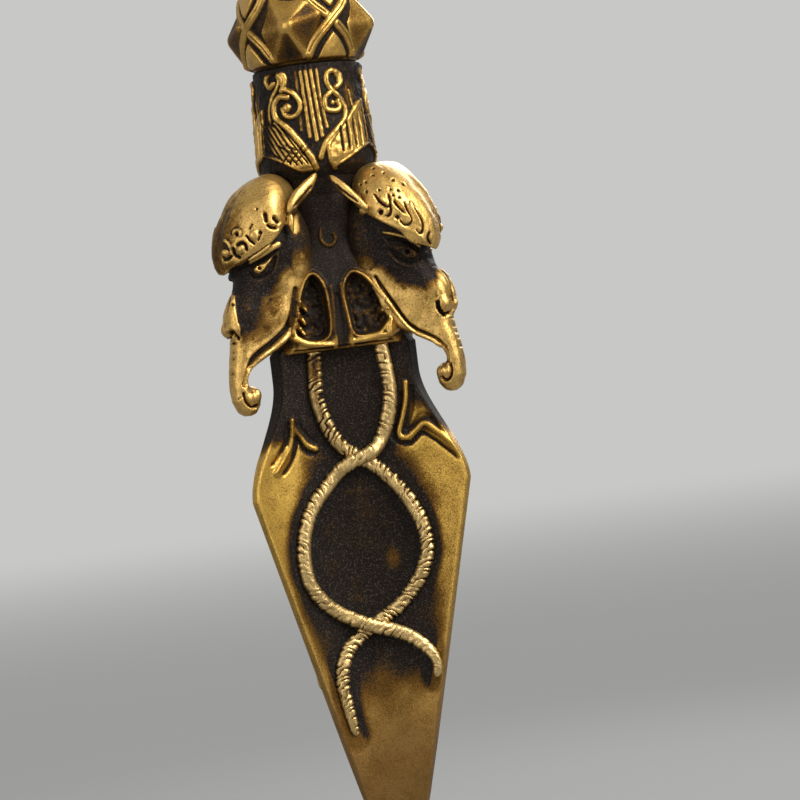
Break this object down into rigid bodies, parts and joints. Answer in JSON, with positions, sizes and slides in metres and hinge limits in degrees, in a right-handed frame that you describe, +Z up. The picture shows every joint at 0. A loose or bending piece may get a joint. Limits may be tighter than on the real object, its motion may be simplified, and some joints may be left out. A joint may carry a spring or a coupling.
{
  "type": "phurba",
  "caption": "Three-sided ritual dagger with makara heads, serpents on its hollow faces, knotted grip and half-vajra top",
  "frame": {"origin": "the blade's point", "axes": "+Z runs up the long axis to the top of the half-vajra; -Y is the face seen in the picture; flanges stand at 90, 210 and 330 degrees"},
  "size_m": [0.0406, 0.0376, 0.2615],
  "materials": {
    "blade_brass": "cast, polished on the outer flanges, dark patina in the hollows",
    "gilt_brass": "cast and carved, rubbed bright over dark patina",
    "bright_brass": "rubbed bright, with patina in the grooves",
    "dark_brass": "dark patina",
    "steel": "plain"
  },
  "bodies": {
    "root": {"blade": "blade_brass", "serpent_front_over": "bright_brass", "serpent_front_under": "bright_brass", "serpent_right_over": "bright_brass", "serpent_right_under": "bright_brass", "serpent_left_over": "bright_brass", "serpent_left_under": "bright_brass", "jaw_collar": "dark_brass", "makara_left": "gilt_brass", "makara_right": "gilt_brass", "makara_rear": "gilt_brass", "neck_sleeve": "dark_brass", "leaf_collar": "bright_brass", "neck_scrolls": "bright_brass", "lower_knot": "dark_brass", "lower_knot_straps": "bright_brass", "lower_knot_studs": "bright_brass", "grip": "dark_brass", "lower_petal_cup": "bright_brass", "grip_band": "bright_brass", "upper_petal_cup": "bright_brass", "upper_knot": "dark_brass", "upper_knot_straps": "bright_brass", "upper_knot_studs": "bright_brass", "tang_nut": "steel", "lotus_seat": "dark_brass", "lotus_petals": "bright_brass", "prong_front": "bright_brass", "prong_right": "bright_brass", "prong_rear": "bright_brass", "prong_left": "bright_brass", "middle_prong": "bright_brass"}
  },
  "joints": []
}
